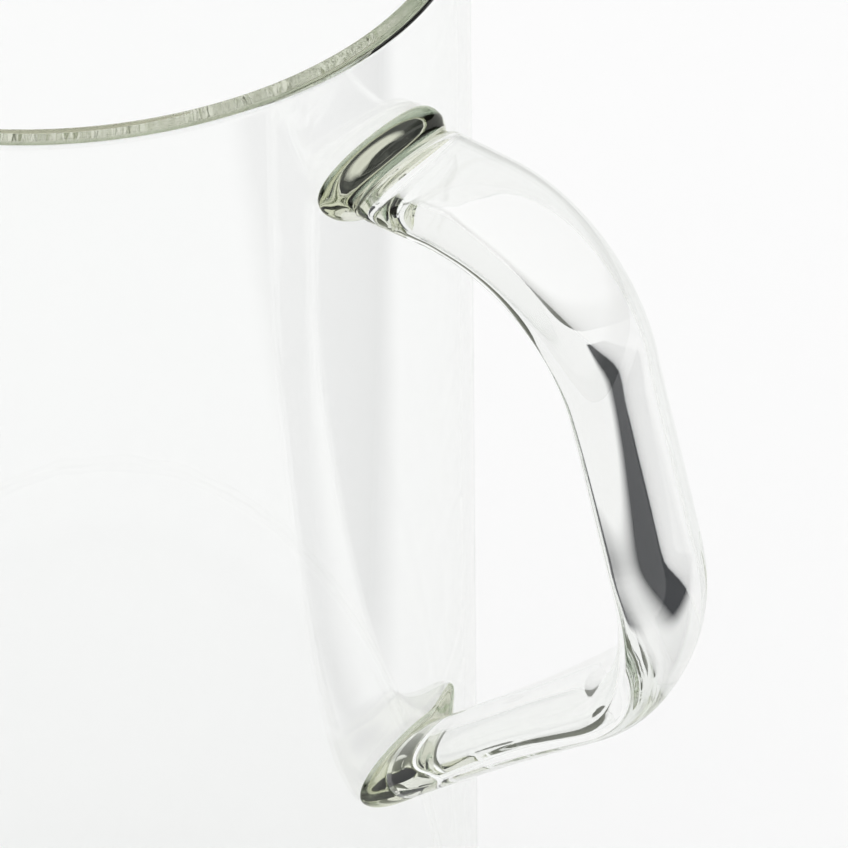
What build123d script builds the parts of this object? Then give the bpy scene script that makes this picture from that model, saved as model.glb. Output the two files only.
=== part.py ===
from build123d import *
import math
import os

# A large hand-made glass water jug: a straight cylindrical vessel with a pouring lip, and a solid glass
# handle that is sealed to the wall at two gobs. Lengths are in millimetres.
#
# Frame: the origin is the centre of the base, on the plane that the jug stands on. +Z is up and +X points
# from the vessel's axis to the handle. The pouring lip points to -X.

# --- driving dimensions: vessel ---
BODY_DIAMETER = 115.0
JUG_HEIGHT = 255.0
WALL_THICKNESS = 2.0
FLOOR_THICKNESS = 5.5        # glass under the water, at the middle of the base
HEEL_RADIUS = 9.0            # outside rounding between base and wall
INNER_HEEL_RADIUS = 8.0      # inside rounding between floor and wall
BASE_SEAM_HEIGHT = 16.0      # where the base node ends and the wall node begins
BEAD_HEIGHT = 1.6            # the fire-polished rim is this high
BEAD_PROUD = 0.1             # and this much thicker than the wall on each side
RIM_ROUNDING = 0.95          # radius of the rim's two top edges
LIP_REACH = 11.0             # how far the pouring lip's tip stands out of the cylinder
LIP_HEIGHT = 32.0            # height of the part of the wall that is drawn out for the lip
LIP_HALF_ANGLE = 38.0        # degrees of the circumference taken up on each side of the lip's tip

# --- driving dimensions: handle ---
UPPER_ARM_DROP = 20.7        # the upper arm's centreline below the top of the rim
UPPER_CORNER_REACH = 34.0    # corners of the centreline, measured out from the body's outer surface
LOWER_CORNER_REACH = 51.5
LOWER_CORNER_DROP = 83.7
LOWER_JOINT_DROP = 133.0     # where the lower arm's centreline meets the body
UPPER_BEND_RADIUS = 25.8
LOWER_BEND_RADIUS = 27.6
STRAP_WIDTH_TOP = 22.1       # the strap is widest where it leaves the upper pad
STRAP_WIDTH_END = 17.4
STRAP_THICKNESS_TOP = 6.0    # and thinnest there
STRAP_THICKNESS_GRIP = 9.4   # half way along
STRAP_THICKNESS_END = 8.2
STRAP_TWIST = 12.0           # degrees that the grip is turned about its own line
TWIST_SPAN = (0.0, 0.35, 0.6, 0.85)   # shares of the strap's length: turn begins, is full, falls, is gone
UPPER_PAD_WIDTH = 24.8
UPPER_PAD_HEIGHT = 12.4
UPPER_PAD_REACH = 4.6        # how far the upper pad reaches out, up to the strap's first section
LOWER_PAD_WIDTH = 21.6
LOWER_PAD_HEIGHT = 11.8
LOWER_PAD_OFFSET = 3.0       # the lower pad sits this far towards +Y
LOWER_PAD_LENGTH = 8.8       # length of the lower pad along the arm
PAD_ROOT_DEPTH = 2.8         # how deep the pads are drawn before they are cut back to the wall

# --- worked out from them ---
OUTER_RADIUS = BODY_DIAMETER / 2
INNER_RADIUS = OUTER_RADIUS - WALL_THICKNESS
WALL_TOP = JUG_HEIGHT - BEAD_HEIGHT
LIP_START = WALL_TOP - LIP_HEIGHT
STRAP_SECTIONS = 25
LIP_SECTIONS = 6


def smooth_step(t, start, end):
    """0 up to the start and 1 from the end on, level at both."""
    t = max(0.0, min(1.0, (t - start) / (end - start)))
    return t * t * (3 - 2 * t)


# --- vessel ---
def vessel_base():
    """Flat-bottomed cup with a rounded heel, up to the seam with the wall."""
    heel_z = FLOOR_THICKNESS + INNER_HEEL_RADIUS
    with BuildPart() as base:
        with BuildSketch(Plane.XZ):
            with BuildLine():
                Polyline((INNER_RADIUS - INNER_HEEL_RADIUS, FLOOR_THICKNESS), (0, FLOOR_THICKNESS), (0, 0),
                         (OUTER_RADIUS - HEEL_RADIUS, 0))
                RadiusArc((OUTER_RADIUS - HEEL_RADIUS, 0), (OUTER_RADIUS, HEEL_RADIUS), -HEEL_RADIUS)
                Polyline((OUTER_RADIUS, HEEL_RADIUS), (OUTER_RADIUS, BASE_SEAM_HEIGHT),
                         (INNER_RADIUS, BASE_SEAM_HEIGHT), (INNER_RADIUS, heel_z))
                RadiusArc((INNER_RADIUS, heel_z), (INNER_RADIUS - INNER_HEEL_RADIUS, FLOOR_THICKNESS),
                          INNER_HEEL_RADIUS)
            make_face()
        revolve(axis=Axis.Z)
    return base.part


def mouth_outline(radius, reach, z):
    """Horizontal face at height z: a circle drawn out by reach at -X, tangent to the circle at both sides."""
    lip_angle = math.radians(180 - LIP_HALF_ANGLE)
    side = (radius * math.cos(lip_angle), radius * math.sin(lip_angle))
    tip = (-radius - reach, 0)
    with BuildSketch(Plane.XY.offset(z)) as outline:
        with BuildLine():
            ThreePointArc((side[0], -side[1]), (radius, 0), side)
            if reach > 0:
                Spline(side, tip, (side[0], -side[1]), tangents=((-side[1], side[0]), (side[1], side[0])))
            else:
                ThreePointArc(side, tip, (side[0], -side[1]))
        make_face()
    return outline.sketch.face()


def drawn_out_solid(radius):
    """The solid inside the top of the wall, from the plain circle up to the full pouring lip."""
    faces = []
    for i in range(LIP_SECTIONS):
        t = i / (LIP_SECTIONS - 1)
        faces.append(mouth_outline(radius, LIP_REACH * t * t, LIP_START + LIP_HEIGHT * t))
    return loft(faces)


def vessel_wall():
    """Straight tube from the base seam, with the pouring lip drawn out of its top."""
    tube_height = LIP_START - BASE_SEAM_HEIGHT
    tube = Pos(0, 0, BASE_SEAM_HEIGHT) * extrude(Circle(OUTER_RADIUS) - Circle(INNER_RADIUS), tube_height)
    return tube + (drawn_out_solid(OUTER_RADIUS) - drawn_out_solid(INNER_RADIUS))


def rim_bead():
    """Thickened, rounded edge that follows the whole mouth and its lip."""
    ring = extrude(
        mouth_outline(OUTER_RADIUS + BEAD_PROUD, LIP_REACH, WALL_TOP)
        - mouth_outline(INNER_RADIUS - BEAD_PROUD, LIP_REACH, WALL_TOP),
        BEAD_HEIGHT,
    )
    return fillet(ring.edges().group_by(Axis.Z)[-1], RIM_ROUNDING)


# --- handle ---
def handle_point(reach, drop):
    """A point of the handle's plane, by its distance from the body's surface and below the rim."""
    return Vector(OUTER_RADIUS + reach, 0, JUG_HEIGHT - drop)


def handle_path():
    """Centreline from the upper pad's face to the lower pad's face."""
    upper_start = handle_point(UPPER_PAD_REACH, UPPER_ARM_DROP)
    upper_corner = handle_point(UPPER_CORNER_REACH, UPPER_ARM_DROP)
    lower_corner = handle_point(LOWER_CORNER_REACH, LOWER_CORNER_DROP)
    joint = handle_point(0, LOWER_JOINT_DROP)
    lower_end = joint + (lower_corner - joint).normalized() * LOWER_PAD_LENGTH
    return FilletPolyline(upper_start, upper_corner, lower_corner, lower_end,
                          radius=[UPPER_BEND_RADIUS, LOWER_BEND_RADIUS])


def oval(origin, direction, width, thickness, twist=0.0):
    """Elliptical face across the handle: width lies along Y, thickness in the handle's plane, then turned."""
    along_width = Vector(0, 1, 0).rotate(Axis((0, 0, 0), direction), -twist)
    plane = Plane(origin=origin, x_dir=along_width, z_dir=direction)
    return (plane * Ellipse(width / 2, thickness / 2)).face()


def strap_width(t):
    return STRAP_WIDTH_TOP + (STRAP_WIDTH_END - STRAP_WIDTH_TOP) * t


def strap_thickness(t):
    return (STRAP_THICKNESS_TOP + (STRAP_THICKNESS_GRIP - STRAP_THICKNESS_TOP) * smooth_step(t, 0, 0.5)
            + (STRAP_THICKNESS_END - STRAP_THICKNESS_GRIP) * smooth_step(t, 0.5, 1))


def strap_twist(t):
    rise, full, fall, level = TWIST_SPAN
    return STRAP_TWIST * (smooth_step(t, rise, full) - smooth_step(t, fall, level))


def handle_strap():
    """Solid flattened rod, wide and thin at the top, narrower, thicker and a little turned in the hand."""
    path = handle_path()
    sections = []
    for i in range(STRAP_SECTIONS):
        t = 1 - i / (STRAP_SECTIONS - 1)      # from the lower end up
        sections.append(oval(path @ t, (path % t) * -1, strap_width(t), strap_thickness(t), -strap_twist(t)))
    return loft(sections)


def cut_to_wall(solid):
    """Cuts a pad back to the outer surface of the wall."""
    return solid - extrude(Circle(OUTER_RADIUS), JUG_HEIGHT)


def upper_handle_pad():
    """Flattened gob on the wall, with a groove between it and the strap."""
    flange = ((-PAD_ROOT_DEPTH, 0.95, 0.93), (0.4, 1.0, 1.0), (2.3, 0.97, 0.9))
    sections = []
    for reach, width_ratio, height_ratio in flange:
        sections.append(oval(handle_point(reach, UPPER_ARM_DROP), (1, 0, 0),
                             UPPER_PAD_WIDTH * width_ratio, UPPER_PAD_HEIGHT * height_ratio))
    groove_reach = UPPER_PAD_REACH * 0.76
    sections.append(oval(handle_point(groove_reach, UPPER_ARM_DROP), (1, 0, 0),
                         STRAP_WIDTH_TOP * 0.97, STRAP_THICKNESS_TOP * 1.1))
    sections.append(oval(handle_point(UPPER_PAD_REACH, UPPER_ARM_DROP), (1, 0, 0),
                         STRAP_WIDTH_TOP, STRAP_THICKNESS_TOP))
    return cut_to_wall(loft(sections))


def lower_handle_pad():
    """Softer gob that flares from the end of the strap to the wall, a little to one side."""
    path = handle_path()
    end = path @ 1
    arm = path % 1
    root = handle_point(0, LOWER_JOINT_DROP) + arm * (PAD_ROOT_DEPTH / -arm.X)
    root += Vector(0, LOWER_PAD_OFFSET, 0)
    middle = end + (root - end) * 0.55
    sections = [
        oval(end, arm, STRAP_WIDTH_END, STRAP_THICKNESS_END),
        oval(middle, (arm + Vector(-1, 0, 0)).normalized(), (STRAP_WIDTH_END + LOWER_PAD_WIDTH) / 2 - 0.6,
             (STRAP_THICKNESS_END + LOWER_PAD_HEIGHT) / 2 - 0.8),
        oval(root, (-1, 0, 0), LOWER_PAD_WIDTH, LOWER_PAD_HEIGHT),
    ]
    return cut_to_wall(loft(sections))


NODES = {
    "vessel_base": vessel_base,
    "vessel_wall": vessel_wall,
    "rim_bead": rim_bead,
    "handle_strap": handle_strap,
    "upper_handle_pad": upper_handle_pad,
    "lower_handle_pad": lower_handle_pad,
}

os.makedirs("parts", exist_ok=True)
for name, make in NODES.items():
    export_step(make(), f"parts/{name}.step")
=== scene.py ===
import math

import bpy
from mathutils import Matrix, Vector


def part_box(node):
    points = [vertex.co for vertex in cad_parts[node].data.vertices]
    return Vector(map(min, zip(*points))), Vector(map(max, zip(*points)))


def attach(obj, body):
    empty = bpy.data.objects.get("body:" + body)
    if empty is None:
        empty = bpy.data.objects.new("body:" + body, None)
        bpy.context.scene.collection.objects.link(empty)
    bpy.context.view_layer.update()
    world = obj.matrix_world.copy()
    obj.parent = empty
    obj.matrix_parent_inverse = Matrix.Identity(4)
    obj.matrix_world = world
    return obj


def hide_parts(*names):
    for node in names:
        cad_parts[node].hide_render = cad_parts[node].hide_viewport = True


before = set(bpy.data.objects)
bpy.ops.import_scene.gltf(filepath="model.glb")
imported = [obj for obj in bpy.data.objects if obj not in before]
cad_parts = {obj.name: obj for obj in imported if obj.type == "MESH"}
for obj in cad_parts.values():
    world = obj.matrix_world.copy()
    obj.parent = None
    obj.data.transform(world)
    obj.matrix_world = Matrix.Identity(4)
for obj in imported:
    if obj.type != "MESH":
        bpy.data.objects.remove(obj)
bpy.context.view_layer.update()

# A clear glass jug. Every length is in metres, in the frame of the CAD model: the origin is the centre of the
# base, +Z is up, +X points to the handle and the pouring lip is at -X.

# --- sizes read from the frame ---
WALL_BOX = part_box("vessel_wall")
RIM_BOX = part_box("rim_bead")
BASE_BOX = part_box("vessel_base")
OUTER_RADIUS = BASE_BOX[1].y
SEAM_HEIGHT = BASE_BOX[1].z
WALL_TOP = WALL_BOX[1].z
JUG_HEIGHT = RIM_BOX[1].z
BEAD_PROUD = RIM_BOX[1].y - OUTER_RADIUS
LIP_REACH = -WALL_BOX[0].x - OUTER_RADIUS

# --- sizes that no box holds, as in the CAD model ---
MM = 0.001
WALL_THICKNESS = 2.0 * MM
FLOOR_THICKNESS = 5.5 * MM
HEEL_RADIUS = 9.0 * MM
INNER_HEEL_RADIUS = 8.0 * MM
LIP_HEIGHT = 32.0 * MM
LIP_HALF_ANGLE = math.radians(38)
UPPER_ARM_DROP = 20.7 * MM
UPPER_CORNER_REACH = 34.0 * MM
LOWER_CORNER_REACH = 51.5 * MM
LOWER_CORNER_DROP = 83.7 * MM
LOWER_JOINT_DROP = 133.0 * MM
UPPER_BEND_RADIUS = 25.8 * MM
LOWER_BEND_RADIUS = 27.6 * MM
STRAP_WIDTH_TOP = 22.1 * MM
STRAP_WIDTH_END = 17.4 * MM
STRAP_THICKNESS_TOP = 6.0 * MM
STRAP_THICKNESS_GRIP = 9.4 * MM
STRAP_THICKNESS_END = 8.2 * MM
STRAP_TWIST = math.radians(12)
TWIST_SPAN = (0.0, 0.35, 0.6, 0.85)
STRAP_CROWN = 0.25
UPPER_PAD_REACH = 4.6 * MM
LOWER_PAD_LENGTH = 8.8 * MM
LOWER_PAD_OFFSET = 3.0 * MM
INNER_RADIUS = OUTER_RADIUS - WALL_THICKNESS

# Pieces that are one glass with their neighbour meet it at a face that light crosses unchanged. A hair's gap
# keeps those faces from lying on each other.
FUSE_GAP = 0.005 * MM

AROUND = 288                 # columns of the vessel's mesh
RING = 96                    # points round the handle's section
GLASS, FUSED = 0, 1          # material slots of every glass piece


# --- materials ---
def glass_material(name, tint, ior=1.49, wave_height=0.02 * MM, wave_size=14 * MM):
    """Clear hand-worked glass with the faint uneven swell that fire leaves on it.

    The tint is taken at every meeting with the surface, so it only shows where light runs a long way inside.
    """
    material = bpy.data.materials.new(name)
    material.use_nodes = True
    nodes, links = material.node_tree.nodes, material.node_tree.links
    nodes.clear()
    out = nodes.new("ShaderNodeOutputMaterial")
    shader = nodes.new("ShaderNodeBsdfGlass")
    shader.inputs["Color"].default_value = (*tint, 1)
    shader.inputs["Roughness"].default_value = 0.0
    shader.inputs["IOR"].default_value = ior
    links.new(shader.outputs["BSDF"], out.inputs["Surface"])
    place = nodes.new("ShaderNodeTexCoord")
    swell = nodes.new("ShaderNodeTexNoise")
    swell.inputs["Scale"].default_value = 1 / wave_size
    swell.inputs["Detail"].default_value = 1.5
    swell.inputs["Distortion"].default_value = 0.4
    bump = nodes.new("ShaderNodeBump")
    bump.inputs["Strength"].default_value = 1.0
    bump.inputs["Distance"].default_value = wave_height
    links.new(place.outputs["Object"], swell.inputs["Vector"])
    links.new(swell.outputs["Fac"], bump.inputs["Height"])
    links.new(bump.outputs["Normal"], shader.inputs["Normal"])
    return material


def fused_material():
    """The inside of a weld between two pieces of glass: nothing bends or darkens there."""
    material = bpy.data.materials.new("fused_joint")
    material.use_nodes = True
    nodes, links = material.node_tree.nodes, material.node_tree.links
    nodes.clear()
    clear = nodes.new("ShaderNodeBsdfTransparent")
    out = nodes.new("ShaderNodeOutputMaterial")
    links.new(clear.outputs[0], out.inputs["Surface"])
    return material


VESSEL_GLASS = glass_material("vessel_glass", (0.996, 0.998, 0.996))
RIM_GLASS = glass_material("rim_glass", (0.66, 0.665, 0.575), wave_height=0.01 * MM)
HANDLE_GLASS = glass_material("handle_glass", (0.984, 0.987, 0.982), wave_height=0.03 * MM)
PAD_GLASS = glass_material("pad_glass", (0.82, 0.83, 0.755), wave_height=0.03 * MM)
FUSED_JOINT = fused_material()


# --- mesh helpers ---
class Builder:
    """Collects the rings and faces of one closed piece."""

    def __init__(self):
        self.points, self.faces, self.slots = [], [], []

    def ring(self, points):
        start = len(self.points)
        self.points.extend(points)
        return list(range(start, len(self.points)))

    def skin(self, rings, slot=GLASS, closed=True, slot_of=None):
        """Quads between rings in order; they face outward where rings run anticlockwise going up."""
        for j in range(len(rings) - 1):
            lower, upper = rings[j], rings[j + 1]
            count = len(lower)
            for i in range(count if closed else count - 1):
                k = (i + 1) % count
                self.faces.append((lower[i], lower[k], upper[k], upper[i]))
                self.slots.append(slot_of(i, j) if slot_of else slot)

    def cap(self, ring, slot, flip=False):
        self.faces.append(tuple(reversed(ring)) if flip else tuple(ring))
        self.slots.append(slot)

    def piece(self, name, material, nodes, slot):
        mesh = bpy.data.meshes.new(name)
        mesh.from_pydata([tuple(p) for p in self.points], [], self.faces)
        mesh.materials.append(material)
        mesh.materials.append(FUSED_JOINT)
        for polygon, index in zip(mesh.polygons, self.slots):
            polygon.material_index = index
            polygon.use_smooth = index == GLASS
        mesh.update()
        piece = bpy.data.objects.new(name, mesh)
        bpy.context.scene.collection.objects.link(piece)
        piece.visible_shadow = False      # clear glass lets the light through to the floor
        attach(piece, "root")
        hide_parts(*nodes)
        return piece


def lip_swell(angle, height):
    """How far the wall is drawn out at this angle and height to make the pouring lip."""
    rise = (height - (WALL_TOP - LIP_HEIGHT)) / LIP_HEIGHT
    off_tip = abs(math.pi - abs(angle)) / LIP_HALF_ANGLE
    if rise <= 0 or off_tip >= 1:
        return 0.0
    return LIP_REACH * min(rise, 1) ** 2 * (0.5 + 0.5 * math.cos(math.pi * off_tip))


def vessel_point(radius, angle, height):
    r = radius + lip_swell(angle, height)
    return Vector((r * math.cos(angle), r * math.sin(angle), height))


def column_angle(i):
    return -math.pi + 2 * math.pi * i / AROUND


def vessel_ring(radius, height):
    return [vessel_point(radius, column_angle(i), height) for i in range(AROUND)]


def arc(centre, radius, start, end, steps):
    """Points (r, z) on an arc of a profile; angles in degrees."""
    return [(centre[0] + radius * math.cos(math.radians(start + (end - start) * k / steps)),
             centre[1] + radius * math.sin(math.radians(start + (end - start) * k / steps)))
            for k in range(steps + 1)]


# --- vessel ---
def make_base():
    """Thick bottom: flat underside, rounded heel, and a floor that rounds up into the wall."""
    b = Builder()
    top = SEAM_HEIGHT - FUSE_GAP / 2
    heel = arc((OUTER_RADIUS - HEEL_RADIUS, HEEL_RADIUS), HEEL_RADIUS, -90, 0, 16)
    inner = arc((INNER_RADIUS - INNER_HEEL_RADIUS, FLOOR_THICKNESS + INNER_HEEL_RADIUS), INNER_HEEL_RADIUS,
                0, -90, 16)
    under = [(heel[0][0] * k / 24, 0.0) for k in range(1, 24)]
    floor = [(inner[-1][0] * k / 24, FLOOR_THICKNESS) for k in range(23, 0, -1)]
    outside = under + heel + [(OUTER_RADIUS, (HEEL_RADIUS + top) / 2), (OUTER_RADIUS, top)]
    inside = [(INNER_RADIUS, top)] + inner + floor
    outer_rings = [b.ring(vessel_ring(r, z)) for r, z in outside]
    inner_rings = [b.ring(vessel_ring(r, z)) for r, z in inside]
    b.cap(outer_rings[0], GLASS, flip=True)
    b.skin(outer_rings)
    b.skin([outer_rings[-1], inner_rings[0]], FUSED)
    b.skin(inner_rings)
    b.cap(inner_rings[-1], GLASS)
    return b.piece("vessel_base_glass", VESSEL_GLASS, ["vessel_base"], "vessel_glass")


class WeldPatch:
    """Where a pad is fused to the wall: the wall's mesh is drawn onto the pad's oval outline."""

    def __init__(self, height, outline, columns, rows, aside=0):
        self.height, self.outline = height, outline
        self.columns, self.rows, self.aside = columns, rows, aside

    def spread(self, i, j):
        """1 on the outline, below 1 inside it, 2 at the edge of the stretch of mesh that is drawn in."""
        return max(abs(i) / self.columns, abs(j) / self.rows)

    def shift(self, i, j, column_step, row_step):
        """Arc length and height of a mesh point from the patch's middle column and row."""
        s = self.spread(i, j)
        if s >= 2 or s == 0:
            return i * column_step, j * row_step
        across, up = i / self.columns / s, j / self.rows / s
        edge = Vector(self.outline(math.atan2(up, across))) - Vector((self.aside * column_step, 0))
        square = Vector((across * 2 * self.columns * column_step, up * 2 * self.rows * row_step))
        if s <= 1:
            return tuple(edge * s)
        return tuple(edge.lerp(square, s - 1))


def upper_outline(turn):
    """Edge of the upper weld on the wall, as arc length and height from the handle's plane."""
    return 11.6 * MM * math.cos(turn), 5.6 * MM * math.sin(turn)


def lower_outline(turn):
    """Edge of the lower weld. A short tail of glass was drawn up and aside when the arm was pressed on."""
    tail = math.exp(-((turn - math.radians(24)) / math.radians(15)) ** 2)
    reach = 1 + 0.45 * tail
    return LOWER_PAD_OFFSET + 10.6 * MM * math.cos(turn) * reach, 5.7 * MM * math.sin(turn) * (1 + 0.8 * tail)


ROW_STEP = 1.3 * MM
PATCHES = (
    WeldPatch(JUG_HEIGHT - UPPER_ARM_DROP, upper_outline, 10, 6),
    WeldPatch(JUG_HEIGHT - LOWER_JOINT_DROP, lower_outline, 10, 6, aside=3),
)


def make_wall():
    """Thin tube with its lip. Both pads' outlines are worked into the outside."""
    b = Builder()
    bottom, top = SEAM_HEIGHT + FUSE_GAP / 2, WALL_TOP - FUSE_GAP / 2
    heights, marks = [bottom], {}
    centres = sorted(PATCHES, key=lambda p: p.height)
    for patch in centres:
        reach = 2 * patch.rows
        first = patch.height - reach * ROW_STEP
        gap = first - heights[-1]
        steps = max(1, round(gap / ROW_STEP))
        heights += [heights[-1] + gap * (k + 1) / steps for k in range(steps)]
        marks[patch] = len(heights) - 1 + reach
        heights += [first + ROW_STEP * k for k in range(1, 2 * reach + 1)]
    gap = top - heights[-1]
    steps = max(1, round(gap / ROW_STEP))
    heights += [heights[-1] + gap * (k + 1) / steps for k in range(steps)]
    middle = AROUND // 2
    column_step = 2 * math.pi * OUTER_RADIUS / AROUND

    def outer_point(i, j):
        for patch, row in marks.items():
            column = middle + patch.aside
            if patch.spread(i - column, j - row) < 2:
                along, up = patch.shift(i - column, j - row, column_step, ROW_STEP)
                along += patch.aside * column_step
                return vessel_point(OUTER_RADIUS, along / OUTER_RADIUS, patch.height + up)
        return vessel_point(OUTER_RADIUS, column_angle(i), heights[j])

    def outer_slot(i, j):
        for patch, row in marks.items():
            if patch.spread(i + 0.5 - middle - patch.aside, j + 0.5 - row) < 1:
                return FUSED
        return GLASS

    outer = [b.ring([outer_point(i, j) for i in range(AROUND)]) for j in range(len(heights))]
    inner = [b.ring(vessel_ring(INNER_RADIUS, z)) for z in reversed(heights)]
    b.skin(outer, slot_of=outer_slot)
    b.skin([outer[-1], inner[0]], FUSED)
    b.skin(inner)
    b.skin([inner[-1], outer[0]], FUSED)
    return b.piece("vessel_wall_glass", VESSEL_GLASS, ["vessel_wall"], "vessel_glass")


def make_rim():
    """Fire-polished bead: an oval section that stands a little proud of the wall on both sides."""
    b = Builder()
    half_wall = WALL_THICKNESS / 2
    half_width = half_wall + BEAD_PROUD
    neck = math.sqrt(1 - (half_wall / half_width) ** 2)
    bottom = WALL_TOP + FUSE_GAP / 2
    half_height = (JUG_HEIGHT - bottom) / (1 + neck)
    middle = (OUTER_RADIUS + INNER_RADIUS) / 2
    start = -math.asin(neck)
    steps = 28
    rings = []
    for k in range(steps + 1):
        turn = start + (math.pi - 2 * start) * k / steps
        r = middle + half_width * math.cos(turn)
        z = JUG_HEIGHT - half_height + half_height * math.sin(turn)
        rings.append(b.ring(vessel_ring(r, z)))
    b.skin(rings)
    b.skin([rings[-1], rings[0]], FUSED)
    return b.piece("rim_bead_glass", RIM_GLASS, ["rim_bead"], "rim_glass")


# --- handle ---
def handle_point(reach, drop):
    """A point of the handle's plane, by its distance from the wall's outside and below the rim's top."""
    return Vector((OUTER_RADIUS + reach, 0, JUG_HEIGHT - drop))


def filleted(points, radii, spacing):
    """Places and directions along straight runs that are joined by tangent arcs."""
    track = []
    here = points[0]
    for corner, after, radius in zip(points[1:], points[2:], radii):
        before = (corner - here).normalized()
        onward = (after - corner).normalized()
        turn = before.angle(onward)
        tangent = radius * math.tan(turn / 2)
        arc_start = corner - before * tangent
        run = (arc_start - here).length
        steps = max(1, round(run / spacing))
        track += [(here.lerp(arc_start, k / steps), before) for k in range(steps)]
        centre = arc_start + (onward - before * before.dot(onward)).normalized() * radius
        axis = before.cross(onward).normalized()
        steps = max(1, round(radius * turn / spacing))
        for k in range(steps):
            spin = Matrix.Rotation(turn * k / steps, 3, axis)
            track.append((centre + spin @ (arc_start - centre), spin @ before))
        here = corner + onward * tangent
    last = (points[-1] - here).normalized()
    steps = max(1, round((points[-1] - here).length / spacing))
    track += [(here.lerp(points[-1], k / steps), last) for k in range(steps + 1)]
    return track


def strap_track():
    upper = handle_point(UPPER_PAD_REACH, UPPER_ARM_DROP)
    upper_corner = handle_point(UPPER_CORNER_REACH, UPPER_ARM_DROP)
    lower_corner = handle_point(LOWER_CORNER_REACH, LOWER_CORNER_DROP)
    joint = handle_point(0, LOWER_JOINT_DROP)
    lower = joint + (lower_corner - joint).normalized() * LOWER_PAD_LENGTH
    return filleted([upper, upper_corner, lower_corner, lower], [UPPER_BEND_RADIUS, LOWER_BEND_RADIUS],
                    1.6 * MM)


def oval_ring(centre, direction, width, thickness, twist=0.0, crown=0.0, fullness=2.2):
    """Points round a rounded section across the handle; width lies along Y before the twist.

    The crown moves thickness from the inner face, which is flatter, to the outer one.
    """
    level = Vector((0, 1, 0))
    side = level * math.cos(twist) - direction.cross(level) * math.sin(twist)
    up = direction.cross(side)
    ring = []
    for k in range(RING):
        turn = 2 * math.pi * k / RING
        c, s = math.cos(turn), math.sin(turn)
        y = math.copysign(abs(c) ** (2 / fullness), c) * width / 2
        z = math.copysign(abs(s) ** (2 / fullness), s) * thickness / 2
        z *= 1 + math.copysign(crown, s)
        ring.append(centre + side * y + up * (z - crown * thickness / 4))
    return ring


def smooth_step(t, start, end):
    """0 up to the start and 1 from the end on, level at both."""
    t = max(0.0, min(1.0, (t - start) / (end - start)))
    return t * t * (3 - 2 * t)


def strap_width(t):
    return STRAP_WIDTH_TOP + (STRAP_WIDTH_END - STRAP_WIDTH_TOP) * t


def strap_thickness(t):
    return (STRAP_THICKNESS_TOP + (STRAP_THICKNESS_GRIP - STRAP_THICKNESS_TOP) * smooth_step(t, 0, 0.5)
            + (STRAP_THICKNESS_END - STRAP_THICKNESS_GRIP) * smooth_step(t, 0.5, 1))


def strap_twist(t):
    rise, full, fall, level = TWIST_SPAN
    return STRAP_TWIST * (smooth_step(t, rise, full) - smooth_step(t, fall, level))


def strap_crown(t):
    return STRAP_CROWN * (smooth_step(t, 0, 0.25) - smooth_step(t, 0.7, 1))


def make_strap():
    """Solid flattened rod, wide and thin at the top, narrower and thicker in the hand."""
    b = Builder()
    track = strap_track()
    rings = []
    for n, (place, direction) in enumerate(track):
        t = n / (len(track) - 1)
        rings.append(b.ring(oval_ring(place, direction, strap_width(t), strap_thickness(t), strap_twist(t),
                                      strap_crown(t))))
    b.skin(rings)
    b.cap(rings[0], FUSED, flip=True)
    b.cap(rings[-1], FUSED)
    return b.piece("handle_strap_glass", HANDLE_GLASS, ["handle_strap"], "handle_glass")


def wall_oval(centre_height, reach, half_width, half_height, follow):
    """Oval ring that stands off the wall by reach. It follows the wall's curve as far as follow says."""
    ring = []
    for k in range(RING):
        turn = 2 * math.pi * k / RING
        y, z = half_width * math.cos(turn), half_height * math.sin(turn)
        radius = OUTER_RADIUS + reach
        curved = math.sqrt(radius * radius - y * y)
        ring.append(Vector((radius + (curved - radius) * follow, y, centre_height + z)))
    return ring


def weld_face(b, outline, centre_height, aside=0.0):
    """The pad's back, fused to the wall: rings that shrink to the middle along the wall's curve."""
    rings = [outline]
    radius = OUTER_RADIUS + FUSE_GAP
    for scale in (0.8, 0.6, 0.4, 0.2):
        points = []
        for index in outline:
            p = b.points[index]
            y, z = aside + (p.y - aside) * scale, centre_height + (p.z - centre_height) * scale
            points.append(Vector((math.sqrt(radius * radius - y * y), y, z)))
        rings.append(b.ring(points))
    b.skin([list(reversed(r)) for r in rings], FUSED)
    b.cap(rings[-1], FUSED, flip=True)


def make_upper_pad():
    """Flattened gob with a rounded edge, and the groove behind it where the strap was drawn away."""
    b = Builder()
    height = JUG_HEIGHT - UPPER_ARM_DROP
    profile = (                       # reach, half width, half height, follow
        (FUSE_GAP / MM, 12.0, 5.7, 1), (0.3, 12.2, 6.0, 1), (0.8, 12.4, 6.2, 1), (1.6, 12.4, 6.2, 1),
        (2.3, 12.15, 5.85, 0.9), (2.75, 11.7, 5.25, 0.8), (3.0, 11.15, 4.5, 0.6), (3.15, 10.7, 3.8, 0.4),
        (3.4, 10.45, 3.15, 0.2), (3.9, 10.55, 2.85, 0.05),
    )
    rings = [b.ring(wall_oval(height, s * MM, w * MM, h * MM, follow)) for s, w, h, follow in profile]
    neck = handle_point(UPPER_PAD_REACH - FUSE_GAP, UPPER_ARM_DROP)
    rings.append(b.ring(oval_ring(neck, Vector((1, 0, 0)), STRAP_WIDTH_TOP, STRAP_THICKNESS_TOP)))
    b.skin(rings)
    b.cap(rings[-1], FUSED)
    weld_face(b, rings[0], height)
    return b.piece("upper_pad_glass", PAD_GLASS, ["upper_handle_pad"], "handle_glass")


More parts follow.
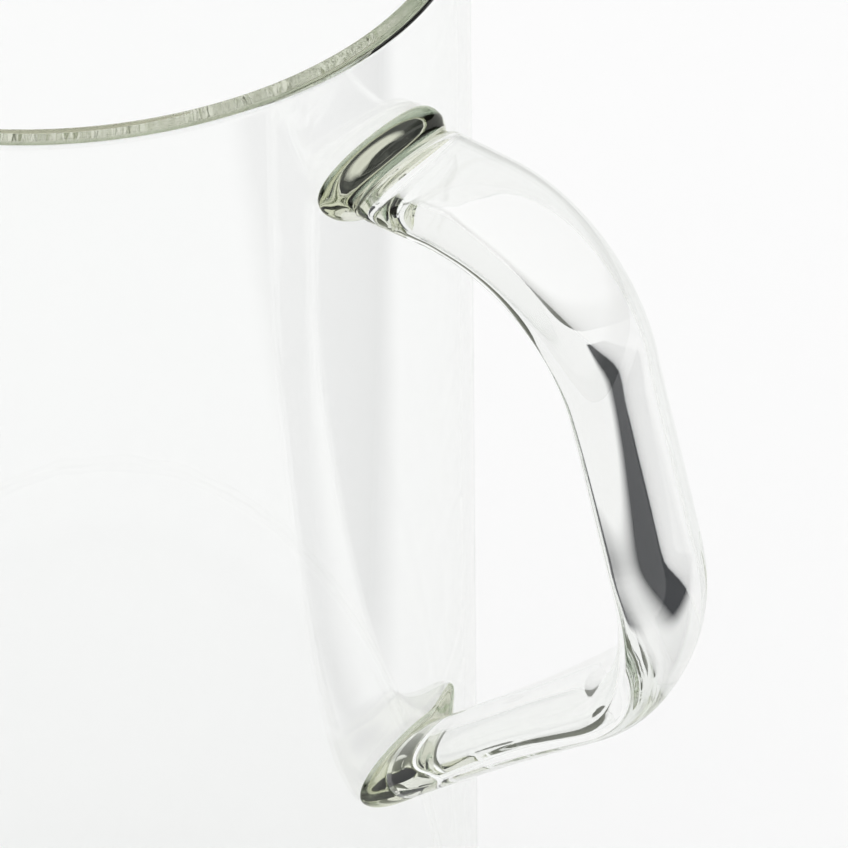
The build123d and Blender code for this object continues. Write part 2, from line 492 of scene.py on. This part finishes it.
def make_lower_pad():
    """Softer gob that flares from the end of the strap onto the wall."""
    b = Builder()
    height = JUG_HEIGHT - LOWER_JOINT_DROP
    end, arm = strap_track()[-1]
    start = oval_ring(end + arm * FUSE_GAP, -arm, STRAP_WIDTH_END, STRAP_THICKNESS_END)
    rings = []
    steps = 16
    for k in range(steps + 1):
        t = k / steps
        points = []
        for n, q in enumerate(start):
            along, up = lower_outline(2 * math.pi * n / RING)
            angle = along / OUTER_RADIUS
            outward = Vector((math.cos(angle), math.sin(angle), 0))
            p = outward * (OUTER_RADIUS + FUSE_GAP) + Vector((0, 0, height + up))
            leave = outward * 5.0 * MM
            arrive = -arm * 9.0 * MM
            points.append(p * (1 + 2 * t) * (1 - t) ** 2 + q * t * t * (3 - 2 * t)
                          + leave * t * (1 - t) ** 2 - arrive * t * t * (1 - t))
        rings.append(b.ring(points))
    b.skin(rings)
    b.cap(rings[-1], FUSED)
    weld_face(b, rings[0], height, LOWER_PAD_OFFSET)
    return b.piece("lower_pad_glass", PAD_GLASS, ["lower_handle_pad"], "handle_glass")


make_base()
make_wall()
make_rim()
make_strap()
make_upper_pad()
make_lower_pad()


# --- stage, light and camera ---
FLOOR_CLEARANCE = 0.5 * MM
CAMERA_AZIMUTH = math.radians(39)
CAMERA_ELEVATION = math.radians(39.13)
CAMERA_ROLL = -0.0161                # radians
CAMERA_DISTANCE = 0.691              # from the point that it aims at
AIM_RIGHT, AIM_DOWN = 51.1 * MM, 73.6 * MM      # of the mouth's centre, as the camera sees it
FOCAL_SHARE = 5000 / 848             # focal length as a share of the sensor's width

# The sky that reflections see, by height over the horizon: nearly black low down, then white.
SKY_STOPS = ((0.0, (0.08, 0.085, 0.065)), (0.12, (0.14, 0.15, 0.11)), (0.3, (1, 1, 1)))


def make_floor():
    mesh = bpy.data.meshes.new("floor")
    half = 4.0
    corners = [(-half, -half, 0), (half, -half, 0), (half, half, 0), (-half, half, 0)]
    mesh.from_pydata(corners, [], [(0, 1, 2, 3)])
    floor = bpy.data.objects.new("floor", mesh)
    floor.location.z = -FLOOR_CLEARANCE
    bpy.context.scene.collection.objects.link(floor)
    material = bpy.data.materials.new("pale_floor")
    material.use_nodes = True
    shader = material.node_tree.nodes["Principled BSDF"]
    shader.inputs["Base Color"].default_value = (0.9, 0.9, 0.9, 1)
    shader.inputs["Roughness"].default_value = 0.9
    shader.inputs["Specular IOR Level"].default_value = 0.0
    mesh.materials.append(material)
    return floor


def make_dark_card(start, heading, length, width, softness, shade):
    """A dark card lying on the floor beside the jug, out of the picture, with soft edges. It is a painted
    dark reflection: camera, diffuse and shadow rays pass it by.

    It starts at a point of the floor and runs along its heading, in degrees from +X towards +Y. Only light
    that has been reflected in the glass meets it, so it never shows straight through the jug.
    """
    mesh = bpy.data.meshes.new("dark_card")
    mesh.from_pydata([(0, -width / 2, 0), (length, -width / 2, 0), (length, width / 2, 0), (0, width / 2, 0)],
                     [], [(0, 1, 2, 3)])
    card = bpy.data.objects.new("dark_card", mesh)
    card.location = (*start, 4 * MM)
    card.rotation_euler.z = math.radians(heading)
    bpy.context.scene.collection.objects.link(card)
    card.visible_camera = False
    card.visible_diffuse = False
    card.visible_shadow = False
    material = bpy.data.materials.new("dark_card")
    material.use_nodes = True
    nodes, links = material.node_tree.nodes, material.node_tree.links
    nodes.clear()

    def calculate(operation, *values):
        node = nodes.new("ShaderNodeMath")
        node.operation = operation
        for socket, value in zip(node.inputs, values):
            if isinstance(value, float):
                socket.default_value = value
            else:
                links.new(value, socket)
        return node.outputs[0]

    def fade(coordinate, size):
        """1 inside the card and 0 at its edge, across the softness."""
        from_middle = calculate("ABSOLUTE", calculate("SUBTRACT", coordinate, 0.5))
        to_edge = calculate("SUBTRACT", 0.5, from_middle)
        return calculate("MINIMUM", calculate("MULTIPLY", to_edge, size / softness), 1.0)

    place = nodes.new("ShaderNodeTexCoord")
    axes = nodes.new("ShaderNodeSeparateXYZ")
    clear = nodes.new("ShaderNodeBsdfTransparent")
    dark = nodes.new("ShaderNodeEmission")
    dark.inputs["Color"].default_value = (*shade, 1)
    mix = nodes.new("ShaderNodeMixShader")
    out = nodes.new("ShaderNodeOutputMaterial")
    links.new(place.outputs["Generated"], axes.inputs[0])
    cover = calculate("MULTIPLY", fade(axes.outputs["X"], length), fade(axes.outputs["Y"], width))
    path = nodes.new("ShaderNodeLightPath")
    # painted reflection: the card is dark only to rays that have been reflected in the glass, and clear to
    # all others
    cover = calculate("MULTIPLY", cover, calculate("GREATER_THAN", path.outputs["Glossy Depth"], 0.5))
    links.new(cover, mix.inputs["Fac"])
    links.new(clear.outputs[0], mix.inputs[1])
    links.new(dark.outputs[0], mix.inputs[2])
    links.new(mix.outputs[0], out.inputs["Surface"])
    mesh.materials.append(material)


def make_world(strength):
    """White soft light from everywhere. Only what glass reflects sees the darker band at the horizon."""
    world = bpy.data.worlds.new("studio")
    world.use_nodes = True
    nodes, links = world.node_tree.nodes, world.node_tree.links
    background = nodes["Background"]
    background.inputs["Strength"].default_value = strength
    place = nodes.new("ShaderNodeTexCoord")
    axes = nodes.new("ShaderNodeSeparateXYZ")
    ramp = nodes.new("ShaderNodeValToRGB")
    ramp.color_ramp.interpolation = "EASE"
    ramp.color_ramp.elements[0].position = SKY_STOPS[0][0]
    ramp.color_ramp.elements[1].position = SKY_STOPS[-1][0]
    ramp.color_ramp.elements.new(SKY_STOPS[1][0])
    for element, (_, colour) in zip(ramp.color_ramp.elements, SKY_STOPS):
        element.color = (*colour, 1)
    path = nodes.new("ShaderNodeLightPath")
    mirrored = nodes.new("ShaderNodeMath")
    mirrored.operation = "GREATER_THAN"
    mirrored.inputs[1].default_value = 0.5
    mix = nodes.new("ShaderNodeMix")
    mix.data_type = "RGBA"
    white, colour = [i for i in mix.inputs if i.type == "RGBA"]
    white.default_value = (1, 1, 1, 1)
    links.new(place.outputs["Generated"], axes.inputs[0])
    links.new(axes.outputs["Z"], ramp.inputs["Fac"])
    links.new(path.outputs["Glossy Depth"], mirrored.inputs[0])
    links.new(mirrored.outputs[0], mix.inputs["Factor"])
    links.new(ramp.outputs["Color"], colour)
    links.new([o for o in mix.outputs if o.type == "RGBA"][0], background.inputs["Color"])
    bpy.context.scene.world = world


def make_camera():
    right = Vector((math.cos(CAMERA_AZIMUTH), math.sin(CAMERA_AZIMUTH), 0))
    away = Vector((-math.sin(CAMERA_AZIMUTH), math.cos(CAMERA_AZIMUTH), 0))
    ahead = away * math.cos(CAMERA_ELEVATION) - Vector((0, 0, math.sin(CAMERA_ELEVATION)))
    up = right.cross(ahead)
    cos_roll, sin_roll = math.cos(CAMERA_ROLL), math.sin(CAMERA_ROLL)
    right, up = right * cos_roll + up * sin_roll, up * cos_roll - right * sin_roll
    aim = Vector((0, 0, JUG_HEIGHT)) + right * AIM_RIGHT - up * AIM_DOWN
    data = bpy.data.cameras.new("camera")
    data.sensor_width = 36
    data.lens = data.sensor_width * FOCAL_SHARE
    data.clip_start = 0.05
    camera = bpy.data.objects.new("camera", data)
    turn = Matrix((right, up, -ahead)).transposed().to_4x4()
    camera.matrix_world = Matrix.Translation(aim - ahead * CAMERA_DISTANCE) @ turn
    bpy.context.scene.collection.objects.link(camera)
    bpy.context.scene.camera = camera


make_floor()
# painted reflection: a dark card that only reflections in the glass see
make_dark_card(start=(0.31, 0.005), heading=63, length=1.2, width=0.4, softness=0.04,
               shade=(0.035, 0.037, 0.042))
make_world(1.085)
make_camera()
scene = bpy.context.scene
scene.view_settings.view_transform = "Standard"
scene.cycles.max_bounces = 96
scene.cycles.transmission_bounces = 96
scene.cycles.glossy_bounces = 96
scene.cycles.transparent_max_bounces = 32
scene.cycles.use_denoising = True
